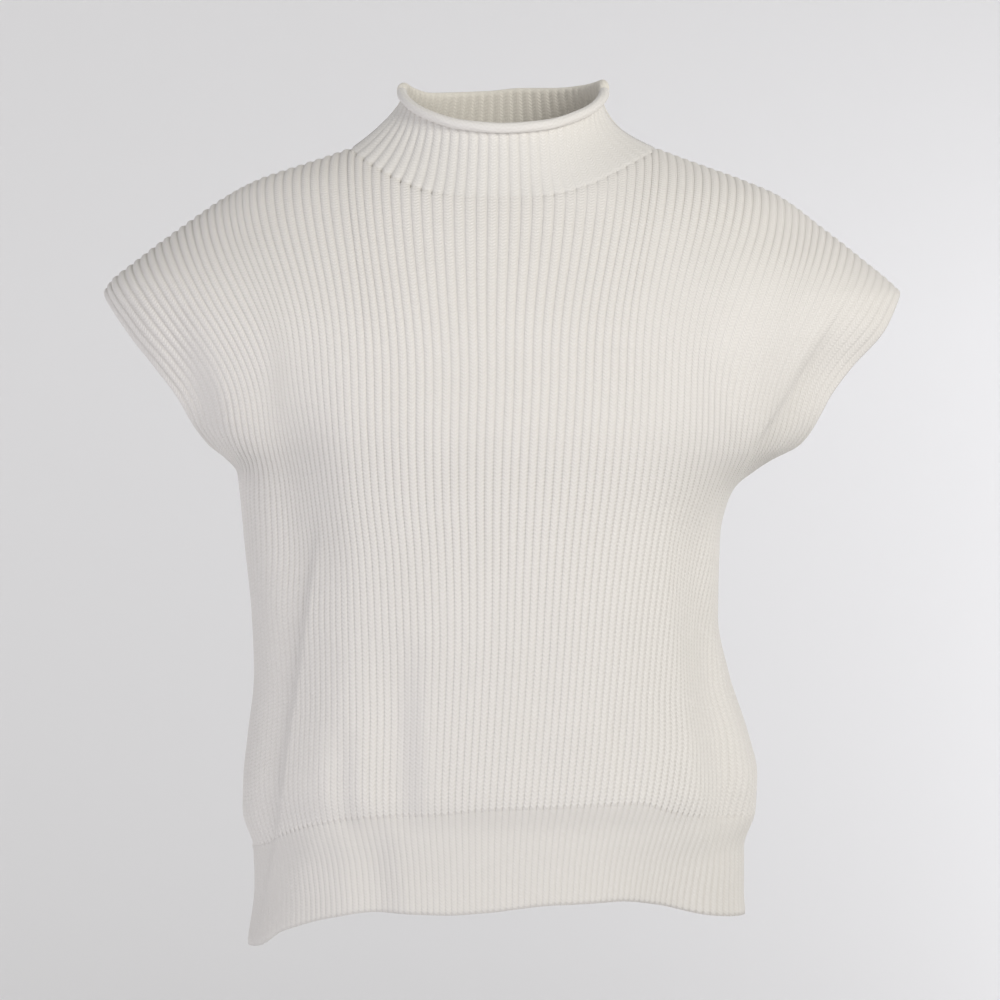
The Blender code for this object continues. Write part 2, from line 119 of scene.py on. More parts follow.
# A fold's section at height z lies at x. Push is how far it sets the cloth back, inner and outer are the
# widths over which the cloth comes back on either side, keep is the share that stays beyond it.
foldColumns = ("z", "x", "push", "inner", "outer", "keep")
folds = {
    "front": (
        # side crease under the left armhole: the cloth turns away softly, then drops in a thin step
        ((-232, -128, 0, 40, 50, 0), (-297, -136, 3, 40, 50, 0), (-342, -142, 5, 40, 48, 0),
         (-387, -149, 6, 38, 44, 0), (-425, -155, 6, 38, 40, 0), (-466, -160, 6, 36, 36, 0),
         (-492, -165, 5, 32, 30, 0), (-545, -176, 2, 30, 20, 0), (-572, -180, 0, 30, 20, 0)),
        ((-250, -130, 0, 8, 50, 0), (-297, -136, 5, 4, 50, 0), (-342, -142, 7, 3, 50, 0),
         (-387, -149, 7, 3, 46, 0), (-425, -155, 7, 3, 42, 0), (-466, -160, 6, 3, 38, 0),
         (-492, -165, 5, 4, 30, 0), (-530, -173, 4, 4, 22, 0), (-568, -180, 0, 5, 20, 0)),
        # side trough under the right armhole
        ((-240, 140, 0, 30, 24, 0), (-278, 134, 9, 24, 18, 0), (-332, 138, 13, 22, 18, 0),
         (-378, 145, 15, 22, 20, 0), (-423, 152, 14, 22, 24, 0), (-460, 158, 10, 22, 22, 0),
         (-505, 160, 0, 20, 20, 0)),
        # hollow between the left cap and the chest
        ((-100, -226, 0, 26, 26, 0), (-134, -220, 4, 24, 26, 0), (-170, -212, 7, 20, 24, 0),
         (-208, -202, 6, 18, 20, 0), (-240, -192, 0, 18, 18, 0)),
        # wide hollow between the left cap and the bust
        ((-120, -170, 0, 60, 44, 0), (-165, -156, 5, 54, 44, 0), (-205, -148, 10, 46, 40, 0),
         (-245, -146, 9, 44, 40, 0), (-290, -142, 4, 44, 40, 0), (-330, -140, 0, 44, 40, 0)),
        # the band leans back on the right
        ((-462, 118, 0, 90, 64, 0), (-495, 118, 3.5, 90, 64, 0), (-540, 118, 11, 90, 64, 0),
         (-570, 118, 13, 90, 64, 0)),
        # the right cap turns under beyond a crease
        ((-104, 246, 0, 20, 44, 0.4), (-124, 230, 5, 15, 44, 0.4), (-146, 213, 12, 7.5, 42, 0.4),
         (-174, 194, 15, 5.5, 40, 0.4), (-200, 180, 13, 5, 34, 0.5), (-216, 172, 8.5, 5, 26, 0.6),
         (-232, 165, 0, 10, 20, 0.6)),
        # shallow troughs of the belly and the band
        ((-326, -70, 0, 20, 34, 0), (-358, -71, 3.5, 20, 34, 0), (-400, -72, 5.8, 20, 34, 0),
         (-440, -71, 5.8, 20, 34, 0), (-474, -71, 0, 20, 30, 0)),
        ((-390, -112, 0, 16, 16, 0), (-424, -112, 2.2, 14, 16, 0), (-456, -110, 1.8, 12, 14, 0),
         (-484, -106, 0, 12, 14, 0)),
        ((-456, -90, 0, 20, 26, 0), (-492, -90, 3.4, 20, 26, 0), (-518, -86, 3.4, 20, 26, 0),
         (-550, -82, 2.2, 20, 24, 0)),
        ((-380, 78, 0, 16, 16, 0), (-404, 82, 1.6, 14, 16, 0), (-428, 86, 1.4, 14, 16, 0),
         (-446, 90, 0, 14, 14, 0)),
        ((-300, 26, 0, 26, 26, 0), (-350, 28, 1.4, 24, 24, 0), (-410, 26, 1.4, 22, 24, 0),
         (-450, 24, 0, 20, 22, 0)),
    ),
    "back": (
        # soft fold from the left shoulder blade down to the band
        ((-150, -142, 0, 30, 30, 0), (-240, -128, 8, 28, 26, 0), (-340, -120, 11, 24, 24, 0),
         (-430, -118, 9, 22, 22, 0), (-490, -120, 0, 20, 20, 0)),
        # shallower fold on the other side
        ((-180, 150, 0, 30, 26, 0), (-270, 128, 9, 26, 22, 0), (-350, 130, 10, 24, 22, 0),
         (-440, 138, 6, 22, 20, 0), (-500, 142, 0, 20, 20, 0)),
        # shallow troughs above the band
        ((-330, -42, 0, 20, 18, 0), (-380, -46, 2.2, 20, 18, 0), (-430, -50, 2.4, 18, 16, 0),
         (-470, -52, 0, 16, 16, 0)),
        ((-380, 44, 0, 18, 18, 0), (-420, 48, 1.8, 18, 18, 0), (-456, 52, 1.4, 16, 16, 0),
         (-480, 54, 0, 16, 16, 0)),
        ((-486, 8, 0, 16, 14, 0), (-512, 12, 1.6, 16, 14, 0), (-546, 16, 1.4, 16, 14, 0)),
    ),
}

# Places of the front where the ribs lie flatter: centre, half width, half height, share of the relief lost
# there. A share below nothing makes the ribs fuller.
flatPlaces = (
    (-61, -410, 18, 70, 1.0), (-172, -380, 36, 150, 0.8), (-176, -530, 44, 80, 0.7),
    (160, -410, 36, 110, 0.7), (-120, -440, 30, 60, 0.5), (-60, -400, 220, 170, 0.4),
    (180, -112, 84, 46, 0.65), (215, -150, 60, 70, 0.4), (172, -240, 44, 46, 0.5),
    (56, -6, 44, 40, 0.85), (-208, -165, 18, 54, 0.6), (-200, -90, 120, 60, -0.3),
    (150, -34, 54, 26, -0.6), (222, -66, 54, 26, -0.6), (-40, -520, 130, 60, 0.15),
)

cut = {
    "edgeRib": 47.5,                 # 95 ribs to a panel
    "neckRib": 15.5,                 # 31 of them run on into the collar
    "capRib": 30.0,                  # ribs beyond this one end on the caps
    "cornerZ": 3.0,                  # heights of the neck corners, cap tips and underarms
    "tipZ": -100.0,
    "underarmZ": -233.0,
    "capZ": (-240.0, -190.0),        # between these the outer ribs fan out into the caps
    "capCrowding": 0.9,              # how closely the last ribs of a cap lie
    "neckMiddleZ": {"front": -31.0, "back": 10.0},
    "neckPower": {"left": 1.65, "right": 1.4},
    "neckPitch": 7.7,                # width of a rib in the middle of the neck seam
    "neckEven": 0.85,                # how evenly the ribs lie along it as seen from the front
}
facing = {"front": -1.0, "back": 1.0}
samples = {   # how finely the curves are followed
    "ring": 261,
    "shoulder": 229,
    "neck": 125,
    "body": (-100, -510, 206),   # from, to, count
    "band": (-440, -575, 55),
}


def blend(t, start, end, leave, arrive):   # curve between two values, with its slopes at both
    return (start * (1 + 2 * t) * (1 - t) ** 2 + end * t * t * (3 - 2 * t)
            + leave * t * (1 - t) ** 2 - arrive * t * t * (1 - t))


def read(table, name, at):   # smooth curve through a column of a table
    rows = np.array(sorted(table["rows"]), dtype=float)
    x, y = rows[:, 0], rows[:, table["columns"].index(name)]
    step = np.diff(x)
    slope = np.diff(y) / step
    tangent = np.concatenate(([slope[0]], np.zeros(len(slope) - 1), [slope[-1]]))
    before, after = slope[:-1], slope[1:]
    sameWay = before * after > 0
    tangent[1:-1][sameWay] = 2 * (before * after)[sameWay] / (before + after)[sameWay]
    at = np.clip(at, x[0], x[-1])
    i = np.clip(np.searchsorted(x, at, side="right") - 1, 0, len(x) - 2)
    return blend((at - x[i]) / step[i], y[i], y[i + 1], step[i] * tangent[i], step[i] * tangent[i + 1])


def ring(name, z):
    return read(rings, name, z)


def smooth(t):
    t = np.clip(t, 0.0, 1.0)
    return t * t * (3 - 2 * t)


def fade(value, start, end):   # nothing up to the start, all of it from the end on, smooth between
    return smooth((value - start) / (end - start))


def foldPush(panel, x, z):   # how far the folds set the cloth back at (x, z)
    push = np.zeros(np.broadcast(x, z).shape)
    for rows in folds[panel]:
        top, bottom = max(row[0] for row in rows), min(row[0] for row in rows)
        fold = {"columns": foldColumns, "rows": rows}
        centre, depth, inner, outer, keep = (read(fold, name, z) for name in foldColumns[1:])
        away = (x - centre) * np.sign(centre)
        share = np.where(away < 0, smooth(1 + away / inner), smooth(keep + (1 - keep) * (1 - away / outer)))
        push += np.where((z < top) & (z > bottom), depth * share, 0.0)
    return push


def ringPoints(panel, z, angle):
    other = "back" if panel == "front" else "front"
    sine, cosine = np.sin(angle), np.cos(angle)
    square = ring("square", z)
    reach = (np.abs(sine) ** square + np.abs(cosine) ** square) ** (-1 / square)
    x = np.where(angle < 0, ring("left", z), ring("right", z)) * reach * sine
    depth = np.where(cosine > 0, ring(panel, z), ring(other, z)) * reach * cosine
    push = np.where(cosine > 0, foldPush(panel, x, z), 0.0)
    return x, facing[panel] * (depth - push)


def surfaceDepth(panel, x, z):   # the cloth's depth at a place seen from the front
    half = np.where(x < 0, ring("left", z), ring("right", z))
    square = ring("square", z)
    share = np.clip(np.abs(x) / half, 0.0, 1.0)
    depth = ring(panel, z) * (1 - share ** square) ** (1 / square)
    return facing[panel] * (depth - foldPush(panel, x, z))


def shoulderRib(z):   # the rib that meets the shoulder seam at height z
    lineZ = np.linspace(rings["rows"][0][0], cut["tipZ"], samples["shoulder"])
    lineX = ring("right", lineZ)
    length = np.concatenate(([0], np.cumsum(np.hypot(np.diff(lineX), np.diff(lineZ)))))
    corner = np.interp(-cut["cornerZ"], -lineZ, length)
    rib = cut["neckRib"] + (cut["edgeRib"] - cut["neckRib"]) * (length - corner) / (length[-1] - corner)
    return np.interp(-np.asarray(z, dtype=float), -lineZ, rib)


def ribTops(panel, ribs):   # on the neck seam in the middle, on the shoulder seam outside it
    lineZ = np.linspace(cut["cornerZ"], cut["tipZ"], samples["shoulder"])
    onShoulder = np.interp(np.abs(ribs), shoulderRib(lineZ), lineZ)
    power = np.where(ribs < 0, cut["neckPower"]["left"], cut["neckPower"]["right"])
    share = np.minimum(np.abs(ribs) / cut["neckRib"], 1.0)
    middle = cut["neckMiddleZ"][panel]
    onNeck = middle + (cut["cornerZ"] - middle) * np.sin(math.pi / 2 * share ** power) ** 2
    return np.where(np.abs(ribs) > cut["neckRib"], onShoulder, onNeck)


def ribSpread(ribs, pitch, close, reach):   # lengths from a ring's middle, closing up to its sides
    inner, span = cut["capRib"], cut["edgeRib"] - cut["capRib"]
    middle = pitch * ribs * (1 - close * (ribs / inner) ** 2)
    start, slope = pitch * inner * (1 - close), pitch * (1 - 3 * close)
    beyond = ribs - inner
    side = start + slope * beyond + (reach - start - slope * span) * (beyond / span) ** 2
    return np.where(ribs < inner, middle, side)


def capSpread(side, outer, ribs, at, x, length):   # a cap's outer ribs, even as seen from the front
    if not len(outer):
        return outer
    inner = np.interp(side * (cut["capRib"] - np.array((0.0, 1.0))), ribs, np.interp(at, length, x))
    edge = x[0] if side < 0 else x[-1]
    span = cut["edgeRib"] - cut["capRib"]
    start = (inner[0] - inner[1]) * span / (edge - inner[0])
    share = blend((outer - cut["capRib"]) / span, 0.0, 1.0, start, cut["capCrowding"])
    return np.interp(inner[0] + (edge - inner[0]) * share, x, length)


def ribRings(panel, z, ribs):   # where ribs cross rings: a row for each height, a column for each rib
    z = np.atleast_1d(np.asarray(z, float))
    ribs = np.broadcast_to(ribs, (len(z), np.shape(ribs)[-1]))
    end = np.radians(read(edges, panel, z))
    angle = np.linspace(-1, 1, samples["ring"]) * end[:, None]
    x, y = ringPoints(panel, z[:, None], angle)
    steps = np.cumsum(np.hypot(np.diff(x), np.diff(y)), axis=1)
    length = np.concatenate((np.zeros((len(z), 1)), steps), axis=1)
    pitch, drift, last = ring("pitch", z), ring("drift", z), shoulderRib(z)
    closing = np.stack((ring("closeLeft", z), ring("closeRight", z)), axis=1)
    capShare = fade(z, *cut["capZ"]) * (z < cut["tipZ"])
    points = np.empty((*ribs.shape, 3))
    for row in range(len(z)):
        middle = np.interp(drift[row], x[row], length[row])
        reach = np.where(ribs[row] > 0, length[row, -1] - middle, middle)
        if z[row] > cut["tipZ"]:
            crowding = (1 - reach / (pitch[row] * last[row])) * (cut["edgeRib"] / last[row]) ** 2
            along = pitch[row] * np.abs(ribs[row]) * (1 - crowding * (ribs[row] / cut["edgeRib"]) ** 2)
        else:
            close = closing[row, (ribs[row] > 0).astype(int)]
            along = ribSpread(np.abs(ribs[row]), pitch[row], close, reach)
        at = middle + np.sign(ribs[row]) * np.minimum(along, reach)
        if capShare[row] > 0:
            for side in (-1, 1):
                outer = ribs[row] * side > cut["capRib"]
                even = capSpread(side, np.abs(ribs[row, outer]), ribs[row], at, x[row], length[row])
                at[outer] += capShare[row] * (even - at[outer])
        points[row, :, 0] = np.interp(at, length[row], x[row])
        points[row, :, 1] = np.interp(at, length[row], y[row])
        points[row, :, 2] = z[row]
    return points


def unit(vectors):
    return vectors / np.linalg.norm(vectors, axis=-1, keepdims=True)


def lengthAlong(points):
    return np.concatenate(([0], np.cumsum(np.linalg.norm(np.diff(points, axis=0), axis=1))))


def stretchEdge(edge, inner, distance):   # carries an edge on beyond its seam, square to it
    steps = unit(np.diff(edge, axis=0))
    before, after = np.concatenate((steps[:1], steps)), np.concatenate((steps, steps[-1:]))
    seam = unit(before + after)
    halfTurn = np.maximum((seam * after).sum(axis=1, keepdims=True), 0.5)   # at most twice as far at a corner
    inwards = inner - edge
    across = unit(inwards - (inwards * seam).sum(axis=1, keepdims=True) * seam)
    return edge - across * distance / halfTurn


knit = {
    "phases": (0.0, 0.16, 0.37, 0.63, 0.84),   # columns across one rib, from furrow to furrow
    "nearSeam": (0.0, 0.7, 1.6, 3.2),          # extra rows beside a seam
    "yokeRows": 46,
    "bodyRows": 50,
    "bandRows": 18,
    "collarRows": 22,
    "rollRows": 20,
    "lap": 0.25,                 # pieces lap by this much at a seam
    "neckLap": 1.4,              # and a panel by this much under the collar
    "chestCourse": 2.4,          # height of one course of stitches
    "bellyCourse": 2.8,
    "bandCourse": 2.3,
    "courseZ": (-180.0, -320.0),   # between these heights the courses grow to the belly's
    "openZ": (-165.0, -225.0),     # and between these the knit opens up
}
seam = {
    "reach": {"panel": 3.2, "band": 2.2, "collar": 2.6},   # how far its row shows on each piece
    "bandDepth": 0.3,            # depth of the band seam beside that of the neck seam
    "neckMiddle": -1.0,          # round this rib the neck seam lies flat
    "neckFade": (3.0, 7.0),      # to full depth between these many ribs away
    "neckRight": 0.5,            # the depth it keeps on the right
    "neckAbove": -150.0,         # a panel's seam above this height is its neck seam
    "underRow": 0.2,             # courses hidden in the lap
}
nearSeam = np.array(knit["nearSeam"])
columnsPerRib = len(knit["phases"])
furrows = np.arange(-cut["edgeRib"], cut["edgeRib"])
ribNumbers = np.append((furrows[:, None] + np.array(knit["phases"])).ravel(), cut["edgeRib"])
neck = np.abs(ribNumbers) < cut["neckRib"] + 1e-6   # the ribs that run on into the collar


def courses(points):   # course numbers along one rib, counted upwards from its lowest point
    z = (points[1:, 2] + points[:-1, 2]) / 2
    belly = fade(z, *knit["courseZ"])
    height = knit["chestCourse"] + (knit["bellyCourse"] - knit["chestCourse"]) * belly
    steps = np.linalg.norm(np.diff(points, axis=0), axis=1) / height
    return np.append(np.cumsum(steps[::-1])[::-1], 0.0)


def neckSeats(panel):   # where each rib lies along the top edge, even as seen from the front
    corner = cut["neckRib"]
    seats = np.linspace(-corner, corner, samples["neck"])
    x = ribRings(panel, ribTops(panel, seats), seats[:, None])[:, 0, 0]
    width = (x[-1] - x[0]) / 2
    close = 1 - width / (cut["neckPitch"] * corner)
    wanted = cut["neckPitch"] * ribNumbers * (1 - close * (ribNumbers / corner) ** 2) + (x[-1] + x[0]) / 2
    even = ribNumbers + cut["neckEven"] * (np.interp(wanted, x, seats) - ribNumbers)
    return np.where(np.abs(ribNumbers) < corner, even, ribNumbers)


# How a rib leaves the shoulder: its slope inwards, and a short lean outwards right at the seam.
shoulder = {
    "columns": ("rib", "inwards", "lean"),
    "rows": (
        (0, 0.0, 0.0), (14, 0.0, 0.0), (18, 0.02, 0.3), (28, 0.05, 0.3), (33, 0.12, 0.12),
        (36, 0.26, 0.0), (40, 0.4, 0.0), (44, 0.56, 0.0), (47.5, 0.6, 0.0),
    ),
    "leanLength": 8.0,
    "joinZ": (-150.0, -190.0),   # where it joins its course down the body: middle ribs, outer ribs
    "joinRibs": (24.0, 36.0),    # the last of those middle ribs and the first of those outer ones
    "edgeRibs": 33.0,            # ribs beyond this one are carried along with the armhole edge
    "samples": 90,
    "crowding": 1.7,             # how much closer they lie at the seam
}


def shoulderLines(panel, tops, first, table, heights):   # the upper part of each rib
    side, size = np.sign(ribNumbers), np.abs(ribNumbers)
    joinZ = shoulder["joinZ"][0] + np.diff(shoulder["joinZ"]) * fade(size, *shoulder["joinRibs"])
    reach = 5   # either way along the body, for the slope at the join
    at = [[np.interp(-z - step, -heights, table[:, column, 0]) for column, z in enumerate(joinZ)]
          for step in (-reach, 0, reach)]
    inwards = read(shoulder, "inwards", size)
    lean = read(shoulder, "lean", size) * shoulder["leanLength"] * side
    fall = tops - joinZ
    share = np.linspace(0, 1, shoulder["samples"])[:, None] ** shoulder["crowding"]
    z = tops - fall * share
    start, end = first[:, 0] + lean, np.array(at[1])
    slope = (np.array(at[2]) - np.array(at[0])) / (2 * reach)
    x = blend(share, start, end, -side * inwards * fall, slope * fall)
    x -= lean * np.exp(-fall * share / shoulder["leanLength"])
    for column in (0, -1):   # keep the armhole edge where it is, and carry its neighbours with it
        edge = np.interp(-z[:, column], -heights, table[:, column, 0])
        near = (side[column] * ribNumbers - shoulder["edgeRibs"]) / (cut["edgeRib"] - shoulder["edgeRibs"])
        x += (edge - x[:, column])[:, None] * np.clip(near, 0, 1) ** 2
    x = np.stack((x, surfaceDepth(panel, x, z), z), axis=2)
    x[0] = first
    return x, joinZ


easing = {
    "turns": 18,
    "share": 0.5,
    "fromSeam": (0.0, 45.0),         # sets in over this distance from a seam
    "heights": (-262.0, -222.0),     # and between these heights
    "sideways": (34.0, 45.0),        # and ends between these ribs
    "inDepth": (41.0, 47.0),
}


def relax(grid, fromSeam):   # evens the cloth out along its ribs, except at its edges
    size = np.abs(ribNumbers)
    free = easing["share"] * fade(fromSeam, *easing["fromSeam"]) * fade(grid[:, :, 2], *easing["heights"])
    share = [free * (1 - fade(size, *easing[way])) for way in ("sideways", "inDepth")]
    for turn in range(easing["turns"]):
        change = (grid[:-2] + grid[2:]) / 2 - grid[1:-1]
        for axis in range(2):
            grid[1:-1, :, axis] += share[axis][1:-1] * change[:, :, axis]
    return grid


def panelGrid(panel):   # rows run down from the neck and shoulder seams to the band seam
    seats = neckSeats(panel)
    tops, bottoms = ribTops(panel, seats), read(hems, panel + "Seam", ribNumbers)
    first = ribRings(panel, tops, seats[:, None])[:, 0]
    last = ribRings(panel, bottoms, ribNumbers[:, None])[:, 0]
    heights = np.linspace(*samples["body"])
    table = ribRings(panel, heights, ribNumbers)
    upper, joinZ = shoulderLines(panel, tops, first, table, heights)
    grid, courseRows, fromSeam = [], [], []
    for column in range(len(ribNumbers)):
        inside = (heights < joinZ[column] - 0.5) & (heights > bottoms[column] + 0.1)   # clear of both ends
        path = np.concatenate((upper[:, column], table[inside, column], last[column, None]))
        length = lengthAlong(path)
        underarm = np.interp(-cut["underarmZ"], -path[:, 2], length)
        yoke = np.linspace(nearSeam[-1], underarm, knit["yokeRows"] + 1)
        body = np.linspace(underarm, length[-1] - nearSeam[-1], knit["bodyRows"] + 1)
        at = np.concatenate((nearSeam, yoke[1:], body[1:], length[-1] - nearSeam[-2::-1]))
        line = np.stack([np.interp(at, length, path[:, axis]) for axis in range(3)], axis=1)
        grid.append(line)
        courseRows.append(courses(line))
        fromSeam.append(np.minimum(at, length[-1] - at))
    grid, courseRows, fromSeam = (np.stack(lines, axis=1) for lines in (grid, courseRows, fromSeam))
    return relax(grid, fromSeam), courseRows, fromSeam


def bandGrid(panel):   # rows run down from the band seam to the hem
    tops, bottoms = read(hems, panel + "Seam", ribNumbers), read(hems, panel + "Hem", ribNumbers)
    heights = np.linspace(*samples["band"])
    table = ribRings(panel, heights, ribNumbers)
    grid, courseRows, fromSeam = [], [], []
    for column, (top, bottom) in enumerate(zip(tops, bottoms)):
        below = np.linspace(top - nearSeam[-1], bottom, knit["bandRows"] + 1)
        z = np.concatenate((top - nearSeam[:-1], below))
        sides = [np.interp(-z, -heights, table[:, column, axis]) for axis in range(2)]
        line = np.stack((*sides, z), axis=1)
        grid.append(line)
        courseRows.append(courses(line) * knit["bellyCourse"] / knit["bandCourse"])
        fromSeam.append(top - z)
    return [np.stack(lines, axis=1) for lines in (grid, courseRows, fromSeam)]


# Heights of the collar's rim from one side of the neck round to the other.
rims = {
    "columns": ("share", "rimZ"),
    "front": ((-1, 44), (-0.8, 37), (-0.55, 27.5), (-0.25, 19.2), (0, 17), (0.25, 19), (0.55, 27),
              (0.8, 36.5), (1, 44)),
    "back": ((-1, 43.5), (-0.95, 46), (-0.88, 46.9), (-0.75, 44.4), (-0.52, 40.8), (-0.1, 42.4),
             (0.12, 44.6), (0.35, 44.4), (0.6, 46), (0.78, 48), (0.9, 49), (0.95, 47.8), (1, 43.5)),
}
collar = {
    "rimHalfWidth": 69.2,
    "rimDepth": {"front": 59.0, "back": 56.0},
    "sideSlope": 0.45,           # how it rises from the corners of the neck
    "basePull": (0.35, 1.15),    # how long it carries on in the slope of the shoulder: elsewhere, right
    "rimPull": (0.60, 1.2),      # and how early it turns upright
    "length": 50.0,              # about that of its ribs, to set the rows beside the seam
    "rollRadius": 2.8,
    "rollEnd": 0.025,            # the share of its length over which the roll closes at its ends
    "endRadius": 0.15,           # squared share of the radius left at the very end
    "rollTurn": math.radians(345),
    "plainTurn": 1.2,            # the ribs turn into plain knit over this angle, in radians
}


def rimPoints(panel, share):
    angle = np.asarray(share) * math.pi / 2
    x = collar["rimHalfWidth"] * np.sin(angle)
    y = facing[panel] * collar["rimDepth"][panel] * np.cos(angle)
    z = read({"columns": rims["columns"], "rows": rims[panel]}, "rimZ", share)
    outwards = (x / collar["rimHalfWidth"] ** 2, y / collar["rimDepth"][panel] ** 2, 0 * x)
    return np.stack((x, y, z), axis=1), unit(np.stack(outwards, axis=1))


def neckSlopes(panel, ribs, edge):   # how the cloth of the body would carry on beyond the neck seam
    sides = ribRings(panel, edge[:, 2], ribs[:, None] + np.array((-0.5, 0.5)))
    above = ribRings(panel, edge[:, 2] + 1, ribs[:, None])[:, 0]
    below = ribRings(panel, edge[:, 2] - 1, ribs[:, None])[:, 0]
    normals = np.cross(sides[:, 1] - sides[:, 0], above - below)
    slopes = np.cross(unit(np.gradient(edge, axis=0)), normals)
    slopes = unit(slopes * np.sign(slopes[:, 2:]))
    for end in (0, -1):
        slopes[end] = unit(np.array((-np.sign(edge[end, 0]), 0.0, collar["sideSlope"])))
    return slopes


def collarGrid(panel, panelPoints):   # rows run up from the neck seam and round the rolled edge
    ribs, edge = ribNumbers[neck], panelPoints[0, neck]
    slope = neckSlopes(panel, neckSeats(panel)[neck], edge)
    rim, outwards = rimPoints(panel, ribs / cut["neckRib"])
    up = np.array((0.0, 0.0, 1.0))
    chord = np.linalg.norm(rim - edge, axis=1, keepdims=True)
    right = smooth(ribs[:, None] / cut["neckRib"])
    leave = slope * chord * (collar["basePull"][0] + np.ptp(collar["basePull"]) * right)
    arrive = up * chord * (collar["rimPull"][0] + np.ptp(collar["rimPull"]) * right)
    rows, plain = [], []
    seamRows = nearSeam / collar["length"]
    for t in np.concatenate((seamRows[:-1], np.linspace(seamRows[-1], 1, knit["collarRows"]))):
        rows.append(blend(t, edge, rim, leave, arrive))
        plain.append(0.0)
    fromEnd = np.clip((1 - np.abs(ribs[:, None]) / cut["neckRib"]) / collar["rollEnd"], 0.0, 1.0)
    closed = collar["endRadius"]
    radius = collar["rollRadius"] * np.sqrt(closed + (1 - closed) * (1 - (1 - fromEnd) ** 2))
    for turn in np.linspace(0, collar["rollTurn"], knit["rollRows"] + 1)[1:]:
        rows.append(rim + outwards * radius * (1 - math.cos(turn)) + up * radius * math.sin(turn))
        plain.append(float(smooth(turn / collar["plainTurn"])))
    grid = np.stack(rows)[::-1]
    length = np.stack([lengthAlong(grid[::-1, column]) for column in range(grid.shape[1])], axis=1)[::-1]
    return grid, length / knit["chestCourse"], length, np.array(plain)[::-1]


def addNode(tree, kind, values=None, **settings):
    made = tree.nodes.new(kind)
    for name, value in settings.items():
        setattr(made, name, value)
    for socket, value in (values or {}).items():
        if isinstance(value, bpy.types.NodeSocket):
            tree.links.new(value, made.inputs[socket])
        else:
            made.inputs[socket].default_value = value
    return made


def calc(tree, operation, *values):
    return addNode(tree, "ShaderNodeMath", dict(enumerate(values)), operation=operation).outputs[0]


def product(tree, first, *others):
    for other in others:
        first = calc(tree, "MULTIPLY", first, other)
    return first


def ease(tree, value, low, high, lowest=0.0, highest=1.0):   # smooth step from low to high
    return addNode(tree, "ShaderNodeMapRange", {0: value, 1: low, 2: high, 3: lowest, 4: highest},
                   interpolation_type="SMOOTHSTEP").outputs[0]


def newTree(name, kind, inputs, outputs):
    tree = bpy.data.node_groups.new(name, kind)
    for label, socketKind, value in inputs:
        socket = tree.interface.new_socket(label, in_out="INPUT", socket_type="NodeSocket" + socketKind)
        if value is not None:
            socket.default_value = value
    for label, socketKind in outputs:
        tree.interface.new_socket(label, in_out="OUTPUT", socket_type="NodeSocket" + socketKind)
    return tree, tree.nodes.new("NodeGroupInput").outputs, tree.nodes.new("NodeGroupOutput").inputs


relief = {
    "Rib Width": 6.0 * mm,       # the ribs have their full height at this width
    "Narrowing": 1.5,            # the power by which narrower ones are lower
    "Roundness": 0.9,            # lower is squarer
    "Balance": 0.53,             # the share of the height that lies behind the cloth's own surface
    "Uneven Ribs": 0.2,          # share of the height by which single ribs differ
    "Slow Waves": 0.8 * mm,      # soft unevenness of the cloth
    "Wave Scale": 22.0,
    "Seam Depth": 0.3 * mm,
    "Seam Dots": 2.6 * mm,       # how much deeper each furrow is at a seam
    "Dot Power": 4.0,            # higher is narrower
    "Seed": 4.0,
}


def ribRelief():
    sizes = [(label, "Float", value) for label, value in relief.items()]
    tree, given, result = newTree(
        "ribRelief", "GeometryNodeTree",
        [("Geometry", "Geometry", None), *sizes, ("Rib Height", "Float", 1.08 * mm),
         ("Material", "Material", None)],
        [("Geometry", "Geometry")])
    rib, seam, plain, width, fullness = (
        addNode(tree, "GeometryNodeInputNamedAttribute", {"Name": name}, data_type="FLOAT").outputs[0]
        for name in ("rib", "seam", "plain", "ribWidth", "fullness"))
    number = calc(tree, "ROUND", rib)
    fromCrest = product(tree, calc(tree, "ABSOLUTE", calc(tree, "SUBTRACT", rib, number)), 2.0)
    swing = calc(tree, "COSINE", product(tree, fromCrest, math.pi))
    bar = calc(tree, "POWER", calc(tree, "MULTIPLY_ADD", swing, 0.5, 0.5), given["Roundness"])
    chance = addNode(tree, "ShaderNodeTexWhiteNoise", {"W": calc(tree, "ADD", number, given["Seed"])},
                     noise_dimensions="1D").outputs[0]
    uneven = calc(tree, "MULTIPLY_ADD", calc(tree, "SUBTRACT", chance, 0.5), given["Uneven Ribs"], 1.0)
    size = calc(tree, "POWER", calc(tree, "DIVIDE", width, given["Rib Width"]), given["Narrowing"])
    raised = product(tree, calc(tree, "SUBTRACT", bar, given["Balance"]), given["Rib Height"], size,
                     fullness, uneven, calc(tree, "SUBTRACT", 1.0, plain))
    waves = addNode(tree, "ShaderNodeTexNoise", {"Scale": given["Wave Scale"], "W": given["Seed"]},
                    noise_dimensions="4D").outputs[0]
    raised = calc(tree, "MULTIPLY_ADD", calc(tree, "SUBTRACT", waves, 0.5), given["Slow Waves"], raised)
    dots = product(tree, calc(tree, "POWER", fromCrest, given["Dot Power"]), given["Seam Dots"])
    groove = product(tree, calc(tree, "ADD", given["Seam Depth"], dots), seam)
    raised = calc(tree, "SUBTRACT", raised, groove)
    normal = tree.nodes.new("GeometryNodeInputNormal").outputs[0]
    offset = addNode(tree, "ShaderNodeVectorMath", {0: normal, "Scale": raised}, operation="SCALE")
    moved = addNode(tree, "GeometryNodeSetPosition",
                    {"Geometry": given["Geometry"], "Offset": offset.outputs[0]})
    whole = addNode(tree, "GeometryNodeRealizeInstances", {"Geometry": moved.outputs[0]})
    dressed = addNode(tree, "GeometryNodeSetMaterial",
                      {"Geometry": whole.outputs[0], "Material": given["Material"]})
    tree.links.new(dressed.outputs[0], result[0])
    return tree


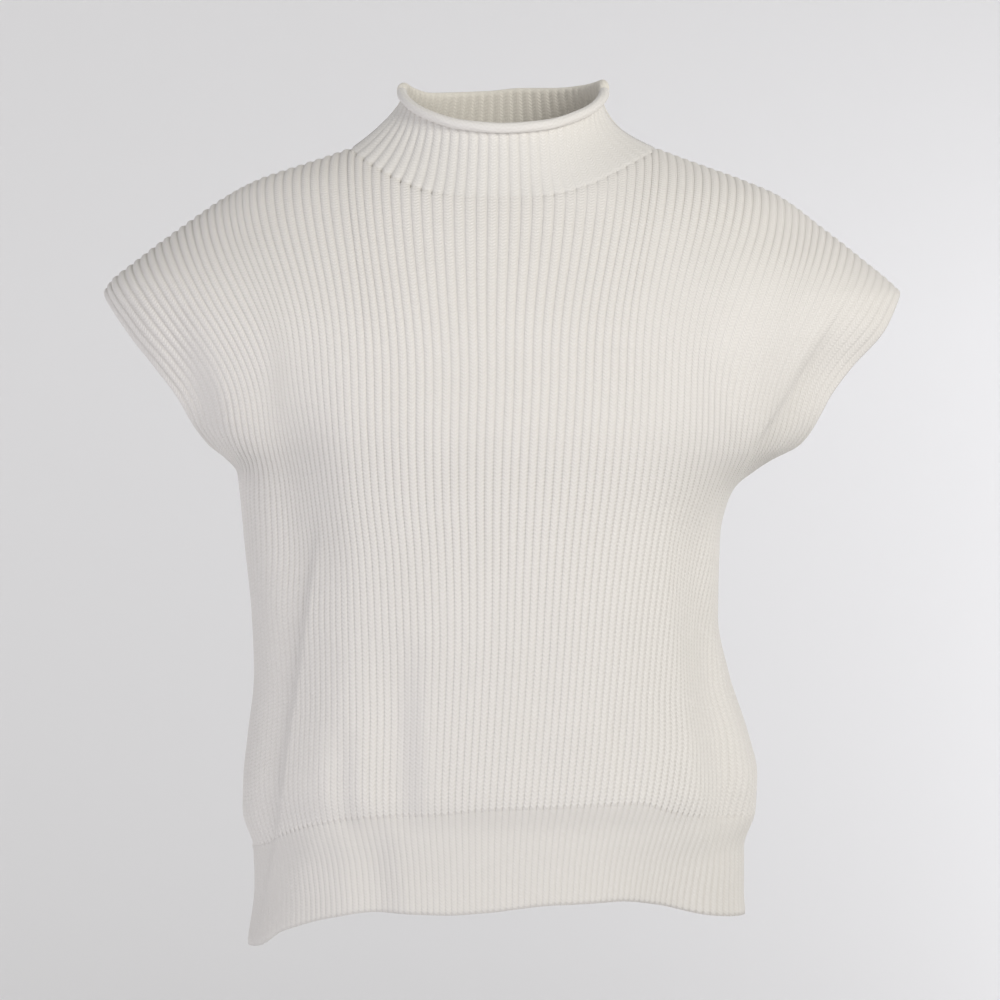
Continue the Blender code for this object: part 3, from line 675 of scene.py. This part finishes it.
stitch = {
    "armLean": 2.0,              # courses that an arm of a stitch climbs over the width of a rib
    "armFrom": (0.08, 0.2),      # how far from the furrow it sets in, in ribs
    "parting": (0.07, 0.6),      # width of the line between the arms, and what is left of them there
    "holeSize": (0.19, 0.36),    # half its width in ribs and half its height in courses
    "holeEdge": (1.25, 0.35),    # where it ends and where it is deepest, in those halves
    "furrow": (0.32, 0.04),      # where the painted shade of a furrow sets in and is full, in ribs
    "fuzzScale": 1600.0,
    "cloudScale": 24.0,
    "holeShade": 0.5,            # shares of the shade colour: painted shade in the holes, the furrows and between the arms
    "furrowShade": 0.22,
    "openShade": -0.16,          # change of the furrow's painted shade where the knit is open
    # painted shade between the arms of the stitches
    "armShade": 0.12,
    # uneven tone of the yarn at random
    "cloudShade": 0.12,
}


def stitchPattern():   # rows of stitches on the ribs and holes between them, with painted shade in the furrows and holes, for a material
    # Shade is the colour of the painted shade in the furrows, the holes and between the arms
    tree, given, result = newTree(
        "stitchPattern", "ShaderNodeTree",
        [("Knit", "Vector", None), ("Place", "Vector", None), ("Openness", "Float", 1.0),
         ("Plain", "Float", 0.0), ("Fullness", "Float", 1.0), ("Stitch Relief", "Float", 0.2 * mm),
         ("Hole Depth", "Float", 0.35 * mm), ("Fuzz", "Float", 0.05 * mm),
         ("Yarn", "Color", (0.8, 0.78, 0.73, 1)), ("Shade", "Color", (0.5, 0.47, 0.41, 1))],
        [("Color", "Color"), ("Height", "Float")])

    def noise(scale):
        return addNode(tree, "ShaderNodeTexNoise",
                       {"Vector": given["Place"], "Scale": scale, "Detail": 3.0}).outputs[0]

    split = addNode(tree, "ShaderNodeSeparateXYZ", {0: given["Knit"]}).outputs
    rib, course = split[0], split[1]
    fromCrest = calc(tree, "ABSOLUTE", calc(tree, "SUBTRACT", rib, calc(tree, "ROUND", rib)))
    fromFurrow = calc(tree, "SUBTRACT", 0.5, fromCrest)
    # arms of the stitches rise from the middle of the rib to its flanks
    lean = product(tree, fromCrest, stitch["armLean"])
    phase = calc(tree, "FRACT", calc(tree, "SUBTRACT", course, lean))
    arm = calc(tree, "SINE", product(tree, phase, math.pi))
    onCrest = ease(tree, fromFurrow, *stitch["armFrom"])
    parting = ease(tree, fromCrest, 0.0, *stitch["parting"])
    # one hole in the furrow for each course
    inCourse = calc(tree, "FRACT", course)
    across = calc(tree, "DIVIDE", fromFurrow, stitch["holeSize"][0])
    along = calc(tree, "DIVIDE", calc(tree, "SUBTRACT", inCourse, 0.5), stitch["holeSize"][1])
    squares = calc(tree, "ADD", product(tree, along, along), product(tree, across, across))
    hole = product(tree, ease(tree, calc(tree, "SQRT", squares), *stitch["holeEdge"]), given["Openness"])
    # relief: the arms and holes of the rib, or the bars of the plain knit
    covered = calc(tree, "SUBTRACT", 1.0, given["Plain"])
    bars = calc(tree, "SINE", product(tree, inCourse, math.pi))
    height = calc(tree, "ADD", product(tree, arm, onCrest, parting, given["Stitch Relief"], covered),
                  product(tree, bars, given["Plain"], given["Stitch Relief"]))
    height = calc(tree, "SUBTRACT", height, product(tree, hole, covered, given["Hole Depth"]))
    height = calc(tree, "MULTIPLY_ADD", noise(stitch["fuzzScale"]), given["Fuzz"], height)
    tree.links.new(height, result["Height"])
    # painted shade: darker in the furrows, in the holes and between the arms of the stitches, where shade
    # falls, the furrow and hole shade less where the ribs lie flat and gone where the knit is plain; a little
    # uneven all over at random
    furrowShadeShare = calc(tree, "MULTIPLY_ADD", given["Openness"], stitch["openShade"], stitch["furrowShade"])
    furrow = product(tree, ease(tree, fromFurrow, *stitch["furrow"]), furrowShadeShare)
    dark = calc(tree, "MAXIMUM", product(tree, hole, stitch["holeShade"]), furrow)
    dark = product(tree, dark, covered, given["Fullness"])
    dark = calc(tree, "ADD", dark, product(tree, calc(tree, "SUBTRACT", 1.0, arm), stitch["armShade"]))
    cloud = calc(tree, "SUBTRACT", noise(stitch["cloudScale"]), 0.5)
    dark = calc(tree, "MULTIPLY_ADD", cloud, stitch["cloudShade"], dark)
    colour = addNode(tree, "ShaderNodeMix", {0: dark, 6: given["Yarn"], 7: given["Shade"]},
                     data_type="RGBA")
    tree.links.new(colour.outputs[2], result["Color"])
    return tree


# Each knitted piece: colour of its yarn, with painted shade in it on the hem bands and painted warm light
# on the back of the collar, height of its ribs, relief of its stitches, and how open its knit is at the
# chest and at the belly.
knitted = {
    "front_panel": {"yarn": (0.806, 0.778, 0.736), "rib": 1.08, "stitch": 0.3, "open": (0.35, 0.85)},
    "back_panel": {"yarn": (0.797, 0.769, 0.727), "rib": 1.08, "stitch": 0.3, "open": (0.35, 0.85)},
    "collar_front": {"yarn": (0.80, 0.777, 0.737), "rib": 1.08, "stitch": 0.2, "open": (0.1, 0.1)},
    # the back of the collar is warmer as painted warm light, bouncing inside the neck
    "collar_back": {"yarn": (0.80, 0.765, 0.685), "rib": 1.08, "stitch": 0.2, "open": (0.1, 0.1)},
    # the hem bands are darker as painted shade, for the shade that falls on the lower part
    "front_hem_band": {"yarn": (0.745, 0.72, 0.68), "rib": 1.05, "stitch": 0.18, "open": (0.15, 0.15)},
    "back_hem_band": {"yarn": (0.742, 0.715, 0.672), "rib": 1.05, "stitch": 0.18, "open": (0.15, 0.15)},
}
finish = {"Roughness": 0.92, "Specular IOR Level": 0.25, "Sheen Weight": 0.12, "Sheen Roughness": 0.6}
stitches = stitchPattern()


def newMaterial(name, settings):
    material = bpy.data.materials.new(name)
    material.use_nodes = True
    shader = material.node_tree.nodes["Principled BSDF"]
    for label, value in settings.items():
        shader.inputs[label].default_value = value
    return material, shader


def yarnMaterial(name):
    material, shader = newMaterial(name + "Yarn", finish)
    tree = material.node_tree
    pattern = addNode(tree, "ShaderNodeGroup", node_tree=stitches)
    tree.links.new(addNode(tree, "ShaderNodeUVMap", uv_map="knit").outputs[0], pattern.inputs["Knit"])
    tree.links.new(tree.nodes.new("ShaderNodeTexCoord").outputs["Object"], pattern.inputs["Place"])
    for label in ("Openness", "Plain", "Fullness"):
        layer = addNode(tree, "ShaderNodeAttribute", attribute_name=label.lower())
        tree.links.new(layer.outputs["Fac"], pattern.inputs[label])
    # its colour, with the painted shade or painted warm light of some pieces in it
    pattern.inputs["Yarn"].default_value = (*knitted[name]["yarn"], 1.0)
    pattern.inputs["Stitch Relief"].default_value = knitted[name]["stitch"] * mm
    tree.links.new(pattern.outputs["Color"], shader.inputs["Base Color"])
    bump = addNode(tree, "ShaderNodeBump",
                   {"Strength": 1.0, "Distance": 1.0, "Height": pattern.outputs["Height"]})
    tree.links.new(bump.outputs[0], shader.inputs["Normal"])
    return material


wall = {
    "thickness": 1.6,
    "edgeShare": 0.45,             # the share of it left at a free edge
    "hiddenShare": 0.1,            # and where a panel runs in under the collar
    "collarShare": 0.85,           # the height of the collar's ribs beside that of the body's
    "collarFade": 12.0,            # reached this far from the seam
    "flatSeam": 0.8,               # what the collar's last ribs lose, where the side seam pulls them flat
    "flatRibs": (14.1, 14.9),      # it sets in between these
    "flatRight": 0.35,             # what ribs lose where the cloth is drawn over the right shoulder
    "flatX": (20.0, 170.0),        # it sets in between these places across and up the front
    "flatZ": (-460.0, -400.0),
    "placeEdge": (7 / 6, 1 / 3),   # shares of a flat place's size: gone at the first, whole at the second
    "widest": 6.6,                 # ribs wider than this are no higher
    "evenTurns": 12,               # how often rib widths are evened out with their neighbours'
}
reliefTree = ribRelief()


def ribFullness(name, grid, ribs, courseRows):   # the share of their height that the ribs keep
    full = np.ones(grid.shape[:2])
    if "collar" in name:
        onBase = smooth(1 - courseRows * knit["chestCourse"] / wall["collarFade"])
        full *= wall["collarShare"] + (1 - wall["collarShare"]) * onBase
        full *= 1 - wall["flatSeam"] * fade(np.abs(ribs), *wall["flatRibs"])
    if "front" in name:
        x, z = grid[:, :, 0], grid[:, :, 2]
        full -= wall["flatRight"] * fade(x, *wall["flatX"]) * fade(z, *wall["flatZ"])
        for middle, height, across, down, share in flatPlaces:
            away = np.hypot((x - middle) / across, (z - height) / down)
            full *= 1 - share * fade(away, *wall["placeEdge"])
    return full


def ribWidths(grid):   # evened out over a few ribs
    apart = np.linalg.norm(np.diff(grid[:, ::columnsPerRib], axis=1), axis=2)
    apart = np.concatenate((apart, apart[:, -1:]), axis=1)
    apart = np.repeat(apart, columnsPerRib, axis=1)[:, :grid.shape[1]]
    for turn in range(wall["evenTurns"]):
        apart[:, 1:-1] = (apart[:, :-2] + 2 * apart[:, 1:-1] + apart[:, 2:]) / 4
    return np.clip(apart, 0.0, wall["widest"]) * mm


def wallWeights(name, grid, ribs):   # thinner where an edge is free or hidden
    weight = np.ones(grid.shape[:2])
    if "band" in name:
        weight[-1] = wall["edgeShare"]
    if "collar" in name:
        weight[0] = wall["edgeShare"]
    if "panel" in name:
        armhole = grid[:, :, 2] > cut["underarmZ"] + 2   # stops just short of the side seam
        weight[armhole[:, 0], 0] = wall["edgeShare"]
        weight[armhole[:, -1], -1] = wall["edgeShare"]
        weight[0, np.abs(ribs) < cut["neckRib"] - 1] = wall["hiddenShare"]
    return weight


def knitPiece(name, grid, courseRows, seamNear, plain=0.0):
    shape = rows, columns = grid.shape[:2]
    ribs = ribNumbers if columns == len(ribNumbers) else ribNumbers[neck]
    corner = (np.arange(rows - 1)[:, None] * columns + np.arange(columns - 1)).ravel()
    faces = np.stack((corner, corner + columns, corner + columns + 1, corner + 1), axis=1)
    if "back" in name:
        faces = faces[:, ::-1]
    mesh = bpy.data.meshes.new(name)
    mesh.from_pydata((grid.reshape(-1, 3) * mm).tolist(), [], faces.tolist())
    mesh.shade_smooth()
    closed, opened = knitted[name]["open"]
    values = {
        "rib": ribs,
        "seam": seamNear,
        "plain": plain,
        "ribWidth": ribWidths(grid),
        "fullness": ribFullness(name, grid, ribs, courseRows),
        "openness": closed + (opened - closed) * fade(grid[:, :, 2], *knit["openZ"]),
    }
    for label, value in values.items():
        layer = mesh.attributes.new(label, "FLOAT", "POINT")
        layer.data.foreach_set("value", np.broadcast_to(value, shape).astype(np.float32).ravel())
    layer = mesh.uv_layers.new(name="knit")
    corners = np.zeros(len(mesh.loops), dtype=np.int32)
    mesh.loops.foreach_get("vertex_index", corners)
    pairs = np.stack((np.broadcast_to(ribs, shape), courseRows), axis=2).reshape(-1, 2)
    layer.data.foreach_set("uv", pairs[corners].astype(np.float32).ravel())
    made = addObject(name, mesh)
    thin = made.vertex_groups.new(name="wall")
    weight = wallWeights(name, grid, ribs).ravel()
    for value in np.unique(weight):
        thin.add(np.flatnonzero(weight == value).tolist(), float(value), "REPLACE")
    raising = made.modifiers.new("ribs", "NODES")
    raising.node_group = reliefTree
    sockets = {item.name: item.identifier for item in reliefTree.interface.items_tree
               if item.in_out == "INPUT"}
    for label, value in relief.items():
        raising[sockets[label]] = value
    raising[sockets["Rib Height"]] = knitted[name]["rib"] * mm
    raising[sockets["Material"]] = yarnMaterial(name)
    walls = made.modifiers.new("wall", "SOLIDIFY")
    walls.thickness = wall["thickness"] * mm
    walls.offset = 0.0
    walls.vertex_group = "wall"
    solid = bpy.data.meshes.new_from_object(made.evaluated_get(bpy.context.evaluated_depsgraph_get()))
    made.modifiers.clear()
    made.data = solid
    solid.name = name
    made.vertex_groups.clear()
    print(f"made {name}: {sum(len(p.vertices) - 2 for p in solid.polygons)} triangles")
    return made


pieces = {}
fromMiddle = np.abs(ribNumbers - seam["neckMiddle"])
alongNeck = np.where(neck, fade(fromMiddle, *seam["neckFade"]), 1.0)
alongNeck[ribNumbers > 0] = np.minimum(alongNeck, seam["neckRight"])[ribNumbers > 0]
for panel in ("front", "back"):
    grid, courseRows, fromSeam = panelGrid(panel)
    collarPoints, collarCourses, fromBase, plainRows = collarGrid(panel, grid)
    under = np.where(neck[:, None], stretchEdge(grid[0], grid[2], knit["neckLap"]),
                     stretchEdge(grid[0], grid[2], knit["lap"]))
    body = np.concatenate((under[None], grid))
    body[-1] = stretchEdge(grid[-1], grid[-3], knit["lap"])
    courseRows = np.concatenate((courseRows[:1] + seam["underRow"], courseRows))
    fromSeam = np.concatenate((fromSeam[:1], fromSeam))
    depth = np.where(body[:, :, 2] > seam["neckAbove"], alongNeck, seam["bandDepth"])
    name = panel + "_panel"
    pieces[name] = knitPiece(name, body, courseRows, smooth(1 - fromSeam / seam["reach"]["panel"]) * depth)

    bandPoints, bandCourses, fromTop = bandGrid(panel)
    bandPoints[0] = stretchEdge(bandPoints[0], bandPoints[2], knit["lap"])
    name = panel + "_hem_band"
    pieces[name] = knitPiece(name, bandPoints, bandCourses,
                             seam["bandDepth"] * smooth(1 - fromTop / seam["reach"]["band"]))

    collarPoints[-1] = stretchEdge(collarPoints[-1], collarPoints[-3], knit["lap"])
    name = "collar_" + panel
    pieces[name] = knitPiece(name, collarPoints, collarCourses,
                             smooth(1 - fromBase / seam["reach"]["collar"]) * alongNeck[neck],
                             plainRows[:, None])

studio = {
    "floorZ": -1380.0,
    "radius": 3800.0,
    "bend": 1100.0,
    "top": 3200.0,
    "around": 96,        # faces round the backdrop
    "bendRows": 12,
    "paper": {   # it glows a little, as an evenly lit one does
        "Base Color": (0.45, 0.45, 0.455, 1.0), "Roughness": 1.0, "Specular IOR Level": 0.0,
        "Emission Color": (0.296, 0.291, 0.289, 1.0), "Emission Strength": 1.0,
    },
    "sky": {"Color": (1.0, 1.0, 1.0, 1.0), "Strength": 0.35},
    "lights": (   # name, place and aim in metres, side in metres, watts, colour
        ("key", (1.65, -2.2, 0.95), (0, 0, -0.25), 1.4, 44.0, (1.0, 0.985, 0.95)),
        ("fill", (-2.1, -1.8, -0.9), (0, 0, -0.36), 1.4, 19.5, (0.84, 0.85, 1.0)),
        ("wallLight", (2.0, 2.3, -0.9), (1.0, 3.7, -0.8), 0.8, 36.0, (0.95, 0.96, 1.0)),
    ),
}


def backdrop():   # a round floor that curves up into a wall
    bend, flat, around = studio["bend"], studio["radius"] - studio["bend"], studio["around"]
    profile = [(flat * share, studio["floorZ"]) for share in (0.2, 0.4, 0.6, 0.8, 1.0)]
    for turn in np.linspace(0, math.pi / 2, studio["bendRows"] + 1)[1:]:
        profile.append((flat + bend * math.sin(turn), studio["floorZ"] + bend * (1 - math.cos(turn))))
    profile.append((studio["radius"], studio["top"]))
    vertices, faces = [(0.0, 0.0, studio["floorZ"] * mm)], []
    for r, z in profile:
        for step in range(around):
            angle = 2 * math.pi * step / around
            vertices.append((r * math.cos(angle) * mm, r * math.sin(angle) * mm, z * mm))
    for step in range(around):
        after = (step + 1) % around
        faces.append((0, 1 + step, 1 + after))
        for level in range(len(profile) - 1):
            a, b = 1 + level * around, 1 + (level + 1) * around
            faces.append((a + step, b + step, b + after, a + after))
    mesh = bpy.data.meshes.new("backdrop")
    mesh.from_pydata(vertices, [], faces)
    mesh.shade_smooth()
    mesh.materials.append(newMaterial("paper", studio["paper"])[0])
    return addObject("backdrop", mesh)


def softbox(name, place, aim, side, watts, colour):
    light = bpy.data.lights.new(name, "AREA")
    light.shape = "RECTANGLE"
    light.size = light.size_y = side
    light.energy = watts
    light.color = colour
    made = addObject(name, light)
    made.location = place
    made.rotation_euler = (Vector(aim) - Vector(place)).to_track_quat("-Z", "Y").to_euler()
    made.visible_camera = False


floor = backdrop()
world = bpy.data.worlds.new("studio")
world.use_nodes = True
for label, value in studio["sky"].items():
    world.node_tree.nodes["Background"].inputs[label].default_value = value
bpy.context.scene.world = world
for light in studio["lights"]:
    softbox(*light)
bpy.context.scene.view_settings.view_transform = "Standard"
print("lit the studio")

for name, piece in pieces.items():
    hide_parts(name)
    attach(piece, "root")
